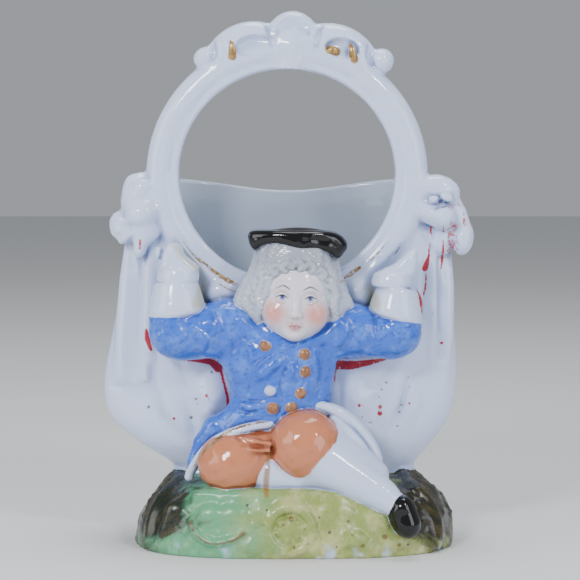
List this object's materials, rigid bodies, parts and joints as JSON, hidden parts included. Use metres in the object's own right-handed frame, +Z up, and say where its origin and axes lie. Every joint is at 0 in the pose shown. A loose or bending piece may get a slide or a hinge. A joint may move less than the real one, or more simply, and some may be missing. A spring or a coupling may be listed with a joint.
{
  "type": "figural spill vase",
  "caption": "Glazed spill vase: a draped, flattened pocket hung on a ring with a scrolled crest, with a seated, cross-legged boy in coat, wig and cocked hat on a mound in front.",
  "frame": {"origin": "middle of the footprint of the whole piece, on the surface it stands on", "axes": "+X to the right of a viewer who faces the boy, +Y from the boy towards the back of the pocket, +Z up"},
  "size_m": [0.1066, 0.0608, 0.152],
  "materials": {
    "painted_porcelain": "gloss"
  },
  "bodies": {
    "root": {"figural_spill_vase": "painted_porcelain"}
  },
  "joints": []
}
